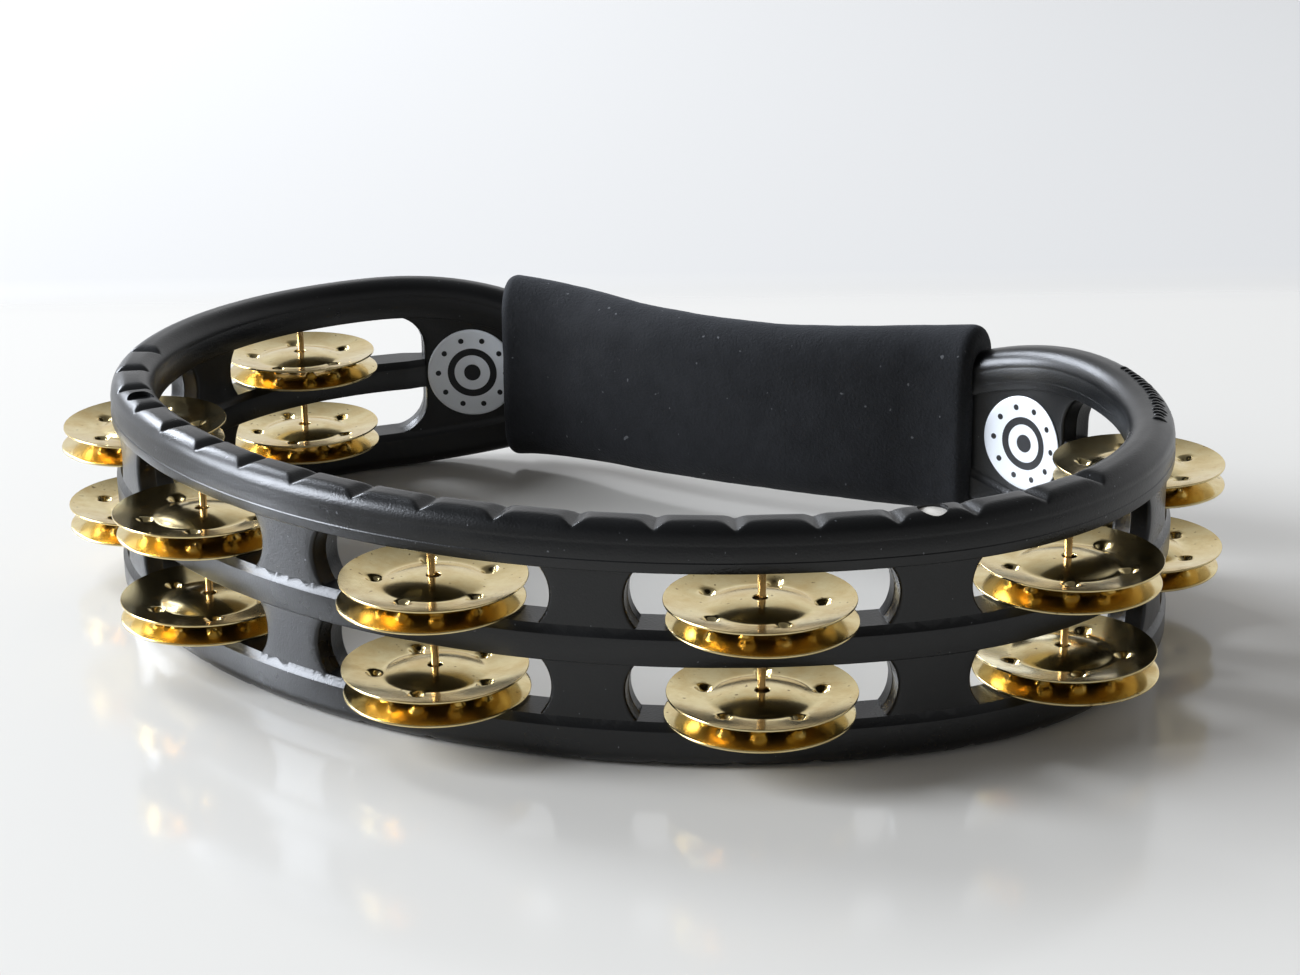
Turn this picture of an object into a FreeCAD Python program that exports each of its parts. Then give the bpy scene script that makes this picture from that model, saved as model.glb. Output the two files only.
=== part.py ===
import FreeCAD, Part
import math
import os

# Hand-held tambourine, in millimetres. It lies on its lower bead on the plane z = 0, +Z up, with the grip
# towards +Y. Places along the frame are measured as a length s along its centre line, from the front middle
# (on the -Y side) round towards +X and then to the grip. The -X half mirrors the +X half.
# u is the distance outwards from the centre line.

Vector = FreeCAD.Vector
UP = Vector(0, 0, 1)

# Centre line in plan: three arcs and the inward-bowed grip.
FRONT_Y = -79.2
FRONT_RADIUS = 152.0
FRONT_ANGLE = 39.5
SIDE_RADIUS = 78.0
SIDE_ANGLE = 107.5
CORNER_RADIUS = 57.5
CORNER_ANGLE = 47.2
GRIP_ANGLE = FRONT_ANGLE + SIDE_ANGLE + CORNER_ANGLE - 180.0

# Heights of the frame's cross-section.
BEAD_HEIGHT = 10.4
SLOT_HEIGHT = 12.7
RAIL_HEIGHT = 7.8
ROW_PITCH = SLOT_HEIGHT + RAIL_HEIGHT
LOWER_FLOOR = BEAD_HEIGHT
UPPER_FLOOR = BEAD_HEIGHT + ROW_PITCH
FRAME_HEIGHT = 2 * BEAD_HEIGHT + 2 * SLOT_HEIGHT + RAIL_HEIGHT
MIDDLE_HEIGHT = FRAME_HEIGHT / 2

# Half widths and roundings of the cross-section.
BEAD_HALF = 5.3
STRIP_PROUD = 0.15
STRIP_HEIGHT = 2.2
WALL_HALF = 4.3
TOP_ROUND = 4.8
BOTTOM_ROUND = 3.9
LEDGE_DROP = 1.7
EMBED = 0.4

# The beads come together towards the grip.
TAPER_START = 231.0
TAPER_END = 275.0
TAPER_DROP = 5.8
TAPER_POWER = 2.3
CORE_START = 279.0
CORE_DROP = 7.6
TAPER_STATIONS = 9

# Slots, posts and the end windows.
POSITION_PITCH = 70.7
POST_WIDTH = 20.2
SLOT_END_BULGE = 2.4
SLOT_EDGE_ROUND = 0.8
WINDOW_END = 247.0
WINDOW_CORNER = 9.0

# Finger notches and the two small round recesses in the top bead.
NOTCH_PITCH = POSITION_PITCH * 1.5 / 6.5
NOTCHES_PER_SIDE = 9
NOTCH_HALF_WIDTH = 2.4
NOTCH_DEPTH = 1.7
RECESS_RADIUS = 3.2
RECESS_DEPTH = 1.3

# Jingle pins: pressed in from below, ending inside the top bead.
PIN_RADIUS = 0.85
PIN_BORE_RADIUS = 0.87
PIN_FOOT = 2.5
PIN_TOP = 48.5

# Jingles: pressed sheet discs in pairs, held apart by pierced bosses.
JINGLE_RADIUS = 20.0
JINGLE_HOLE = 1.7
SHEET = 0.5
DISH = 1.55
CREASE_RADIUS = 11.4
BOSS_COUNT = 5
BOSS_STEP = math.radians(360 / BOSS_COUNT)
BOSS_WALL = 0.1
BOSS_CIRCLE = 12.9
BOSS_BASE = 1.5
BOSS_TIP = 0.95
BOSS_BORE = 0.55
BOSS_HEIGHT = 1.1
FLANGE_SAG = 0.58
CREASE_HALF_WIDTH = 0.8
CREASE_SINK = 0.08
DOME_RISE = 1.5
DOME_MIDDLE = (6.2, -0.42)
PAIR_HEIGHT = 5.5
REST_GAP = 0.3
PLAY = 0.4
PLAY_TURN = 137.5

# Foam sleeve, pushed a little towards -X, over the edge of the badge there.
SLEEVE_START = 274.5
SLEEVE_SHIFT = 3.6
SLEEVE_HALF = 9.2
SLEEVE_TOP = 54.0
SLEEVE_FOOT = 2.3
WAIST_TOP = 4.0
WAIST_FOOT = 3.0
SLEEVE_STATIONS = 6

# Round stickers on the inner wall.
BADGE_PLACE = 261.0
BADGE_RADIUS = 12.25
BADGE_THICK = 0.35
ADHESIVE = 0.1
FOAM_RELIEF = 0.1


def arc_chain():
    """The half centre line as arcs: start length, end length, centre, radius, start heading, turn sign."""
    arcs = []
    x, y, heading, s = 0.0, FRONT_Y, 0.0, 0.0
    for radius, degrees in (
        (FRONT_RADIUS, FRONT_ANGLE),
        (SIDE_RADIUS, SIDE_ANGLE),
        (CORNER_RADIUS, CORNER_ANGLE),
        (None, -GRIP_ANGLE),
    ):
        turn = math.radians(degrees)
        sign = math.copysign(1.0, turn)
        if radius is None:
            radius = x / math.sin(abs(turn))
        centre = Vector(x - sign * radius * math.sin(heading), y + sign * radius * math.cos(heading), 0)
        length = radius * abs(turn)
        arcs.append((s, s + length, centre, radius, heading, sign))
        heading += turn
        x = centre.x + sign * radius * math.sin(heading)
        y = centre.y - sign * radius * math.cos(heading)
        s += length
    return arcs


ARCS = arc_chain()
HALF_LENGTH = ARCS[-1][1]


def station(s):
    """Point on the centre line, outward normal and tangent at length s on the +X half."""
    arc = next((a for a in ARCS if s <= a[1] + 1e-6), ARCS[-1])
    start, _, centre, radius, heading, sign = arc
    angle = heading + sign * (s - start) / radius
    normal = Vector(math.sin(angle), -math.cos(angle), 0)
    tangent = Vector(math.cos(angle), math.sin(angle), 0)
    return centre + normal * (sign * radius), normal, tangent


def wire_at(s, outline):
    """Closed wire of a (u, z) outline standing across the centre line. A step with two points is an arc."""
    point, normal, _ = station(s)

    def place(uz):
        return point + normal * uz[0] + UP * uz[1]

    edges = []
    here = place(outline[-1][-1])
    for step in outline:
        there = place(step[-1])
        if len(step) == 2:
            edges.append(Part.Arc(here, place(step[0]), there).toShape())
        else:
            edges.append(Part.LineSegment(here, there).toShape())
        here = there
    return Part.Wire(edges)


def sweep(outline, s_from, s_to):
    """Solid of one outline along the centre line: one revolved piece for each arc that it meets."""
    pieces = []
    for start, end, centre, radius, _, sign in ARCS:
        low, high = max(start, s_from), min(end, s_to)
        if high - low < 1e-3:
            continue
        face = Part.Face(wire_at(low + 1e-7, outline))
        degrees = math.degrees(sign * (high - low) / radius)
        pieces.append(face.revolve(centre, UP, degrees))
    return join(pieces)


def join(pieces):
    """One shape from several."""
    if len(pieces) == 1:
        return pieces[0]
    return pieces[0].fuse(pieces[1:])


def mirrored(shape):
    """The same shape on the -X half."""
    return shape.mirror(Vector(0, 0, 0), Vector(1, 0, 0))


def top_bead(drop):
    """Outline of the top bead: rounded crest, and a proud strip along its lower edge."""
    top = FRAME_HEIGHT - drop
    low = top - BEAD_HEIGHT
    strip = low + STRIP_HEIGHT
    flat = BEAD_HALF - TOP_ROUND
    slant = TOP_ROUND * math.sqrt(0.5)
    shoulder = top - TOP_ROUND
    return [
        [(BEAD_HALF + STRIP_PROUD, low)],
        [(BEAD_HALF + STRIP_PROUD, strip)],
        [(BEAD_HALF, strip + STRIP_PROUD)],
        [(BEAD_HALF, shoulder)],
        [(flat + slant, shoulder + slant), (flat, top)],
        [(-flat, top)],
        [(-flat - slant, shoulder + slant), (-BEAD_HALF, shoulder)],
        [(-BEAD_HALF, strip + STRIP_PROUD)],
        [(-BEAD_HALF - STRIP_PROUD, strip)],
        [(-BEAD_HALF - STRIP_PROUD, low)],
    ]


def bottom_bead(rise):
    """Outline of the bottom bead: rounded foot with a narrow flat, and a sloping ledge at its top."""
    flat = BEAD_HALF - BOTTOM_ROUND
    slant = BOTTOM_ROUND * math.sqrt(0.5)
    shoulder = rise + BOTTOM_ROUND
    high = rise + BEAD_HEIGHT
    return [
        [(flat, rise)],
        [(flat + slant, shoulder - slant), (BEAD_HALF, shoulder)],
        [(BEAD_HALF, high - LEDGE_DROP)],
        [(WALL_HALF, high)],
        [(-WALL_HALF, high)],
        [(-BEAD_HALF, high - LEDGE_DROP)],
        [(-BEAD_HALF, shoulder)],
        [(-flat - slant, shoulder - slant), (-flat, rise)],
    ]


def rail():
    """Outline of the middle rail: sharp lower edges and sloping upper ledges."""
    low = LOWER_FLOOR + SLOT_HEIGHT
    return [
        [(BEAD_HALF, low)],
        [(BEAD_HALF, UPPER_FLOOR - LEDGE_DROP)],
        [(WALL_HALF, UPPER_FLOOR)],
        [(-WALL_HALF, UPPER_FLOOR)],
        [(-BEAD_HALF, UPPER_FLOOR - LEDGE_DROP)],
        [(-BEAD_HALF, low)],
    ]


def block(low, high, inner=-WALL_HALF, outer=WALL_HALF):
    """Outline of a plain upright rectangle."""
    return [[(outer, low)], [(outer, high)], [(inner, high)], [(inner, low)]]


def drop_at(s):
    """How far each bead has moved towards the middle height at length s."""
    part = max(0.0, (s - TAPER_START) / (TAPER_END - TAPER_START))
    return TAPER_DROP * part**TAPER_POWER


def bead(outline_for):
    """Half of a bead: swept along the ring, lofted through its taper, and swept again as the grip's core."""
    step = (CORE_START - TAPER_START) / (TAPER_STATIONS - 1)
    stations = [TAPER_START + step * i for i in range(TAPER_STATIONS)]
    taper = Part.makeLoft([wire_at(s, outline_for(drop_at(s))) for s in stations], True, False)
    ring = sweep(outline_for(0.0), 0.0, TAPER_START)
    core = sweep(outline_for(CORE_DROP), CORE_START, HALF_LENGTH)
    return join([ring, taper, core])


def across(s, z, radius, reach=12.0):
    """Cylinder that lies along the outward normal at length s and height z."""
    point, normal, _ = station(s)
    return Part.makeCylinder(radius, 2 * reach, point + UP * z - normal * reach, normal)


def post(middle, floor):
    """Post between two slots: its ends are hollowed by the slots' round ends, and their edges are rounded."""
    low, high = floor - EMBED, floor + SLOT_HEIGHT + EMBED
    half = POST_WIDTH / 2
    shape = sweep(block(low, high), middle - half, middle + half)
    chord = SLOT_HEIGHT / 2
    radius = (chord**2 + SLOT_END_BULGE**2) / (2 * SLOT_END_BULGE)
    offset = radius - SLOT_END_BULGE
    for side in (-1, 1):
        shape = shape.cut(across(middle + side * (half + offset), floor + chord, radius))
    rounded = []
    for edge in shape.Edges:
        ends = [v.Point for v in edge.Vertexes]
        if len(ends) == 2:
            centre = edge.valueAt((edge.FirstParameter + edge.LastParameter) / 2)
            bulge = (centre - (ends[0] + ends[1]) * 0.5).Length
            if abs(ends[0].z - ends[1].z) > SLOT_HEIGHT / 2 and bulge > SLOT_END_BULGE / 2:
                rounded.append(edge)
    return shape.makeFillet(SLOT_EDGE_ROUND, rounded)


def end_panel():
    """Wall from the end window to the grip. The window's two outer corners are round."""
    low, high = LOWER_FLOOR, UPPER_FLOOR + SLOT_HEIGHT
    wall = sweep(block(low - EMBED, high + EMBED), WINDOW_END - WINDOW_CORNER - 2, HALF_LENGTH)
    point, normal, tangent = station(WINDOW_END)
    slant = WINDOW_CORNER * (1 - math.sqrt(0.5))
    r = WINDOW_CORNER
    outline = [
        ((-3 * r, low), None),
        ((-r, low), None),
        ((0, low + r), (-slant, low + slant)),
        ((0, high - r), None),
        ((-r, high), (-slant, high - slant)),
        ((-3 * r, high), None),
    ]

    def place(tz):
        return point + tangent * tz[0] + UP * tz[1] - normal * 12

    edges = []
    here = place(outline[-1][0])
    for there_tz, middle in outline:
        there = place(there_tz)
        if middle is None:
            edges.append(Part.LineSegment(here, there).toShape())
        else:
            edges.append(Part.Arc(here, place(middle), there).toShape())
        here = there
    window = Part.Face(Part.Wire(edges)).extrude(normal * 24)
    return wall.cut(window)


def notch(s, height, up):
    """V-shaped cutter across a bead's crest."""
    point, normal, tangent = station(s)
    crest = point + UP * height - normal * 9
    over = 1.0
    half = NOTCH_HALF_WIDTH * (1 + over / NOTCH_DEPTH)
    corners = [
        crest - UP * (up * NOTCH_DEPTH),
        crest + UP * (up * over) + tangent * half,
        crest + UP * (up * over) - tangent * half,
    ]
    return Part.Face(Part.makePolygon(corners + corners[:1])).extrude(normal * 18)


def pin_place(position):
    """Plan place of pin 1 to 7, counted from the -X end; pin 4 is the front middle."""
    steps = position - 4
    point, _, _ = station(abs(steps) * POSITION_PITCH)
    return Vector(math.copysign(1, steps) * point.x, point.y, 0)


def make_frame():
    """The one-piece moulded frame."""
    parts = [bead(top_bead), bead(bottom_bead), sweep(rail(), 0.0, WINDOW_END + 0.2), end_panel()]
    for i in range(3):
        for floor in (LOWER_FLOOR, UPPER_FLOOR):
            parts.append(post((i + 0.5) * POSITION_PITCH, floor))
    half = join(parts)
    cutters = []
    for i in range(NOTCHES_PER_SIDE + 1):
        cutters.append(notch(i * NOTCH_PITCH, FRAME_HEIGHT, 1))
        cutters.append(notch(i * NOTCH_PITCH, 0.0, -1))
    point, _, _ = station(1.5 * POSITION_PITCH)
    foot = point + UP * (FRAME_HEIGHT - RECESS_DEPTH)
    cutters.append(Part.makeCylinder(RECESS_RADIUS, RECESS_DEPTH + 1, foot))
    for position in range(4, 8):
        foot = pin_place(position) - UP
        cutters.append(Part.makeCylinder(PIN_BORE_RADIUS, PIN_TOP + 1.2, foot))
    half = half.cut(cutters)
    return half.fuse(mirrored(half)).removeSplitter()


def sleeve_wire(s, share):
    """Outline of the foam sleeve: an upright oval that is lower at the middle of the grip."""
    top = SLEEVE_TOP - WAIST_TOP * (1 - share**2)
    foot = SLEEVE_FOOT + WAIST_FOOT * (1 - share**2)
    half = SLEEVE_HALF
    outline = [
        [(half, top - half)],
        [(0, top), (-half, top - half)],
        [(-half, foot + half)],
        [(0, foot), (half, foot + half)],
    ]
    return wire_at(s, outline)


def sleeve_half(start):
    """Solid sleeve from one end to the middle of the grip."""
    shares = [1 - i / SLEEVE_STATIONS for i in range(SLEEVE_STATIONS + 1)]
    wires = [sleeve_wire(HALF_LENGTH - share * (HALF_LENGTH - start), share) for share in shares]
    return Part.makeLoft(wires, True, False)


def make_sleeve(frame):
    """Foam sleeve round the grip's core, dented where it presses on the badge's edge."""
    right = sleeve_half(SLEEVE_START + SLEEVE_SHIFT)
    left = mirrored(sleeve_half(SLEEVE_START - SLEEVE_SHIFT))
    dent = mirrored(make_badge(FOAM_RELIEF))
    return right.fuse(left).removeSplitter().cut(frame).cut(dent)


def jingle_section(shift):
    """Half section of one face of the sheet: flange, crease and dome, as arcs and their end points."""
    flange_foot = CREASE_RADIUS + CREASE_HALF_WIDTH
    outline = [
        (JINGLE_RADIUS, 0.0),
        ((JINGLE_RADIUS + flange_foot) / 2, -FLANGE_SAG * DISH),
        (flange_foot, -DISH),
        (CREASE_RADIUS, -DISH - CREASE_SINK),
        (CREASE_RADIUS - CREASE_HALF_WIDTH, -DISH + SHEET / 10),
        DOME_MIDDLE,
        (JINGLE_HOLE, -DISH + DOME_RISE),
    ]
    points = [Vector(r, 0, z - shift) for r, z in outline]
    arcs = [Part.Arc(*points[i : i + 3]).toShape() for i in (0, 2, 4)]
    return arcs, points[0], points[-1]


def make_jingle():
    """Sheet disc with its outward face up and its rim at z = 0: dished flange, crease, low dome and bosses."""
    upper, rim, eye = jingle_section(0.0)
    lower, low_rim, low_eye = jingle_section(SHEET)
    edges = upper + lower
    edges.append(Part.LineSegment(eye, low_eye).toShape())
    edges.append(Part.LineSegment(low_rim, rim).toShape())
    disc = Part.Face(Part.Wire(Part.__sortEdges__(edges))).revolve(Vector(0, 0, 0), UP, 360)
    tip = -DISH - SHEET - BOSS_HEIGHT
    for i in range(BOSS_COUNT):
        angle = BOSS_STEP * i
        foot = Vector(BOSS_CIRCLE * math.cos(angle), BOSS_CIRCLE * math.sin(angle), tip)
        boss = Part.makeCone(BOSS_TIP, BOSS_BASE, BOSS_HEIGHT + SHEET * 0.7, foot)
        bore = Part.makeCone(BOSS_BORE, BOSS_BASE - BOSS_WALL, BOSS_HEIGHT + SHEET * 1.7, foot)
        disc = disc.fuse(boss).cut(bore)
    return disc


def make_badge(growth):
    """Round sticker on the inner wall, curved with it. Growth makes it wider and thicker."""
    radius = BADGE_RADIUS + growth
    reach = radius + 1.5
    back = -WALL_HALF - ADHESIVE
    outline = block(MIDDLE_HEIGHT - reach, MIDDLE_HEIGHT + reach, back - BADGE_THICK - growth, back + growth)
    sheet = sweep(outline, BADGE_PLACE - reach, BADGE_PLACE + reach)
    return sheet.common(across(BADGE_PLACE, MIDDLE_HEIGHT, radius))


def save(shape, name):
    """Write one node."""
    if len(shape.Solids) == 1:
        shape = shape.Solids[0]
    print(name, shape.ShapeType, shape.isValid(), round(shape.Volume, 1), shape.BoundBox)
    shape.exportStep(f"parts/{name}.step")


os.makedirs("parts", exist_ok=True)
frame = make_frame()
save(frame, "frame")
save(make_sleeve(frame), "grip_sleeve")
badge = make_badge(0.0)
save(mirrored(badge), "badge_left")
save(badge, "badge_right")
jingle = make_jingle()
order = 0
for position in range(1, 8):
    place = pin_place(position)
    save(Part.makeCylinder(PIN_RADIUS, PIN_TOP - PIN_FOOT, place + UP * PIN_FOOT), f"pin_{position}")
    for row, floor in (("low", LOWER_FLOOR), ("high", UPPER_FLOOR)):
        pair_turn = PLAY_TURN * order
        for layer in ("under", "over"):
            order += 1
            heading = math.radians(PLAY_TURN * order)
            lean = Vector(math.cos(heading), math.sin(heading), 0) * PLAY
            disc = jingle.copy()
            height = floor + REST_GAP
            if layer == "over":
                disc.rotate(Vector(0, 0, 0), UP, pair_turn)
                height += PAIR_HEIGHT
            else:
                disc.rotate(Vector(0, 0, 0), Vector(1, 0, 0), 180)
                disc.rotate(Vector(0, 0, 0), UP, pair_turn + math.degrees(BOSS_STEP) / 2)
            disc.translate(place + lean + UP * height)
            save(disc, f"jingle_{row}_{position}_{layer}")
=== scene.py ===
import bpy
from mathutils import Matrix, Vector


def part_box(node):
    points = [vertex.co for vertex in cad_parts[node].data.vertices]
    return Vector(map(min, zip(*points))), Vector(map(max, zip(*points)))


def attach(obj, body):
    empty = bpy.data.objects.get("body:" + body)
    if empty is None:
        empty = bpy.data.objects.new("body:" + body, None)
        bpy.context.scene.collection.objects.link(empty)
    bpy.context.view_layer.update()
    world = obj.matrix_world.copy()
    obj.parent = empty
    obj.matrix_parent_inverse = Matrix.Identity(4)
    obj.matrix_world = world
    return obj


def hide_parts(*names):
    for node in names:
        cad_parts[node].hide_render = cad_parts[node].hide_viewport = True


bl_info = {
    "name": "Headless Tambourine",
    "version": (1, 0, 0),
    "blender": (4, 5, 0),
    "location": "3D View > Sidebar > Tambourine",
    "description": "Makes a hand-held tambourine: moulded ring, brass jingles, foam grip, badges and stage",
    "category": "Add Mesh",
}

import math

import bmesh
import bpy
import numpy as np
from bpy.props import FloatProperty, FloatVectorProperty, IntProperty, PointerProperty
from mathutils import Matrix, Vector, noise
from mathutils.geometry import delaunay_2d_cdt

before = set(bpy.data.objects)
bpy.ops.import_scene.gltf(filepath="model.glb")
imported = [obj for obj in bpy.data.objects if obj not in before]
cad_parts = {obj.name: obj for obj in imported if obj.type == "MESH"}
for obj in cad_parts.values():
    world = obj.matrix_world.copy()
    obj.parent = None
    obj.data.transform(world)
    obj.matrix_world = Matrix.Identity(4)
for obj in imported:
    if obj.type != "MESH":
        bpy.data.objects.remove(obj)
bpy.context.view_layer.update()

# Sizes below are in millimetres and meshes in metres. Places along the ring are signed lengths s of its
# centre line from the front middle, + towards +X; u is the distance outwards from that line; z is the height.
MM = 0.001
POSITIONS = range(1, 8)
ROWS = ("low", "high")

# Centre line in plan: three arcs and the inward-bowed grip.
FRONT_RADIUS = 152.0
FRONT_ANGLE = 39.5
SIDE_RADIUS = 78.0
SIDE_ANGLE = 107.5
CORNER_RADIUS = 57.5
CORNER_ANGLE = 47.2
GRIP_ANGLE = FRONT_ANGLE + SIDE_ANGLE + CORNER_ANGLE - 180.0

# Heights and half widths of the moulding's section.
FRAME_HEIGHT = (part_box("frame")[1].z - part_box("frame")[0].z) / MM
BEAD_HEIGHT = 10.4
SLOT_HEIGHT = 12.7
RAIL_HEIGHT = FRAME_HEIGHT - 2 * BEAD_HEIGHT - 2 * SLOT_HEIGHT
RAIL_FOOT = BEAD_HEIGHT + SLOT_HEIGHT
SLOT_FLOORS = (BEAD_HEIGHT, RAIL_FOOT + RAIL_HEIGHT)
BEAD_HALF = 5.3
STRIP_PROUD = 0.15
STRIP_HEIGHT = 2.2
CREST_STEP = 0.08
WALL_HALF = 4.3
TOP_ROUND = 4.8
BOTTOM_ROUND = 3.9
LEDGE_DROP = 1.7
EMBED = 0.6

# The beads come together towards the grip.
TAPER_START = 231.0
TAPER_LENGTH = 44.0
TAPER_DROP = 5.8
TAPER_POWER = 2.3
CORE_DROP = 7.6

# Slots, posts, end windows, notches and the two crest recesses.
POSITION_PITCH = 70.7
POST_WIDTH = 20.2
SLOT_END_BULGE = 2.4
WINDOW_END = 247.0
WINDOW_CORNER = 9.0
NOTCH_PITCH = POSITION_PITCH * 1.5 / 6.5
NOTCHES_PER_SIDE = 9
NOTCH_HALF_WIDTH = 2.15
NOTCH_REACH = 3.7
RECESS_PLACE = 1.5 * POSITION_PITCH
RECESS_RADIUS = 3.2
RECESS_DEPTH = 1.3
PIN_RADIUS = 0.85
PIN_BORE = 0.95

# Jingles.
JINGLE_RADIUS = 20.0
JINGLE_HOLE = 1.7
DISH = 1.55
FLANGE_BEND = 0.32
CREASE_IN = 10.6
CREASE_OUT = 12.2
DOME_TOP = -0.05
DOME_BEND = 0.0183
BOSS_CIRCLE = 12.9
BOSS_BORE = 0.55
BOSS_REACH = 2.1
BOSS_SINK = 1.15
JINGLE_TURN = math.radians(137.5)
UNDER_TILT = 0.5
OVER_TILT = 0.9
LEAN_TURN = 2.4
LEAN_SWING = 1.7
SHEET_RINGS = (1.7, 2.0, 2.6, 3.4, 4.4, 5.4, 6.4, 7.4, 8.4, 9.3, 10.0, 10.5, 10.8, 11.1, 11.4, 11.7, 12.0,
               12.4, 13.0, 13.8, 14.7, 15.7, 16.7, 17.7, 18.6, 19.3, 19.7, 19.88)
BOSS_RINGS = (BOSS_BORE, 0.72, 0.92, 1.14, 1.38, 1.62, 1.86, BOSS_REACH)
CUT_EDGE = ((0.16, 0.16), (0.24, 0.5), (0.16, 0.84))

# Foam grip and badges.
SLEEVE_START = 274.5
SLEEVE_SHIFT = 3.6
SLEEVE_HALF = 9.2
SLEEVE_TOP = 54.0
SLEEVE_FOOT = 2.3
WAIST_TOP = 4.0
WAIST_FOOT = 3.0
BADGE_PLACE = 261.0
BADGE_RADIUS = 12.25
BADGE_BACK = WALL_HALF + 0.1
BADGE_THICK = 0.35
PRINT_RING = 5.9
PRINT_RING_WIDTH = 1.9
PRINT_DOT_CIRCLE = 9.4
PRINT_DOT = 0.75
PRINT_MIDDLE = 2.3
INK_HEIGHT = 0.12

# Row of raised ribs on the crest.
RIB_ROW = (190.0, 229.0)
RIB_MIDDLE = 1.6
RIB_HALF_LENGTH = 1.8
RIB_ROOT = 0.6
RIB_SHORTEST = 0.72

# Stage: what the camera and windows look at, the lens in millimetres, the table and windows in metres.
LOOK_AT = Vector((6.7, 14.1, 26.9)) * MM
LENS = 71.4
SENSOR = 36.0
TABLE_RADIUS = 6
TABLE_BACK = 0.27
WINDOW_PLACE, WINDOW_SIZE = (-2.9, -1.4, 1.4), (1.9, 1.5)
FAR_WINDOW_PLACE, FAR_WINDOW_SIZE = (-2.5, 0.95, 1.6), (1.2, 1.0)
ROOM_DEPTH = (-0.6, 0.8, 0.0)


def linear(code):
    """Linear RGBA of an sRGB hex colour."""
    channels = [int(code[i : i + 2], 16) / 255 for i in (1, 3, 5)]
    return [c / 12.92 if c <= 0.04045 else ((c + 0.055) / 1.055) ** 2.4 for c in channels] + [1.0]


def arc_chain():
    """The +X half of the centre line as arcs: start, end, centre x and y, radius, heading, turn sign."""
    arcs = []
    pin_low, pin_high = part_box("pin_4")
    x, y, heading, s = 0.0, (pin_low.y + pin_high.y) / 2 / MM, 0.0, 0.0
    for radius, degrees in (
        (FRONT_RADIUS, FRONT_ANGLE),
        (SIDE_RADIUS, SIDE_ANGLE),
        (CORNER_RADIUS, CORNER_ANGLE),
        (None, -GRIP_ANGLE),
    ):
        turn = math.radians(degrees)
        sign = math.copysign(1.0, turn)
        if radius is None:
            radius = x / math.sin(abs(turn))
        cx = x - sign * radius * math.sin(heading)
        cy = y + sign * radius * math.cos(heading)
        length = radius * abs(turn)
        arcs.append((s, s + length, cx, cy, radius, heading, sign))
        heading += turn
        x = cx + sign * radius * math.sin(heading)
        y = cy - sign * radius * math.cos(heading)
        s += length
    return arcs


ARCS = arc_chain()
HALF = ARCS[-1][1]


def on_ring(s, u, z):
    """Points in metres at lengths s along the ring, u outwards, z up. s may run past the grip's middle."""
    s, u, z = np.broadcast_arrays(np.asarray(s, float), np.asarray(u, float), np.asarray(z, float))
    s = (s + HALF) % (2 * HALF) - HALF
    away = np.abs(s)
    x, y = np.zeros(s.shape), np.zeros(s.shape)
    for start, _, cx, cy, radius, heading, sign in ARCS:
        reached = away >= start
        angle = heading + sign * (away - start) / radius
        x = np.where(reached, cx + np.sin(angle) * (sign * radius + u), x)
        y = np.where(reached, cy - np.cos(angle) * (sign * radius + u), y)
    return np.stack([np.where(s < 0, -x, x), y, z], -1) * MM


def arc_points(cx, cy, rx, ry, start, end, steps):
    """Points of an elliptic arc between two angles in degrees."""
    angles = np.radians(np.linspace(start, end, steps + 1))
    return [(cx + rx * math.cos(a), cy + ry * math.sin(a)) for a in angles]


# ---------------------------------------------------------------- meshes


def skin(rows, closed=False):
    """Points and faces of a shell through rows of points, each a closed loop. An open shell gets end caps."""
    count, width = rows.shape[:2]
    faces = []
    for i in range(count if closed else count - 1):
        here, there = i * width, (i + 1) % count * width
        for j in range(width):
            k = (j + 1) % width
            faces.append((here + j, here + k, there + k, there + j))
    if not closed:
        faces.append(tuple(reversed(range(width))))
        faces.append(tuple(range((count - 1) * width, count * width)))
    return rows.reshape(-1, 3), faces


def mesh_of(name, shells):
    """Mesh of several closed shells, with their faces pointing outwards."""
    built = bmesh.new()
    for points, faces in shells:
        made = [built.verts.new(p) for p in points]
        for face in faces:
            built.faces.new([made[i] for i in face])
    bmesh.ops.recalc_face_normals(built, faces=built.faces)
    mesh = bpy.data.meshes.new(name)
    built.to_mesh(mesh)
    built.free()
    return mesh


def placed(name, mesh):
    """A new object for a mesh, in the scene."""
    obj = bpy.data.objects.new(name, mesh)
    bpy.context.scene.collection.objects.link(obj)
    return obj


def drop(obj):
    """Takes away a helper object."""
    bpy.data.objects.remove(obj)


def made_plain(obj):
    """Replaces an object's mesh by its evaluated one and takes its modifiers away."""
    graph = bpy.context.evaluated_depsgraph_get()
    mesh = bpy.data.meshes.new_from_object(obj.evaluated_get(graph))
    obj.modifiers.clear()
    obj.data = mesh
    return obj


def boolean(obj, tool, operation):
    """Adds a tool object to an object, or cuts it out, and takes the tool away."""
    modifier = obj.modifiers.new("Tool", "BOOLEAN")
    modifier.solver = "MANIFOLD"
    modifier.operation = operation
    modifier.object = tool
    made_plain(obj)
    drop(tool)
    if not obj.data.polygons:
        raise RuntimeError(f"{obj.name} came out empty")


def shade_smooth(mesh, degrees):
    """Smooth shading, with edges sharper than an angle left sharp."""
    built = bmesh.new()
    built.from_mesh(mesh)
    bmesh.ops.remove_doubles(built, verts=built.verts, dist=1e-7)
    limit = math.radians(degrees)
    for face in built.faces:
        face.smooth = True
    for edge in built.edges:
        edge.smooth = edge.calc_face_angle(math.pi) < limit
    built.to_mesh(mesh)
    built.free()


def finished(obj, material, body, slot, *nodes):
    """Gives a piece its material and the body it rides on, and hides the CAD nodes that it stands for. Its
    slot is not used.
    """
    obj.data.materials.clear()
    obj.data.materials.append(material)
    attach(obj, body)
    if nodes:
        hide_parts(*nodes)
    return obj


# ---------------------------------------------------------------- nodes and materials


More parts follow.
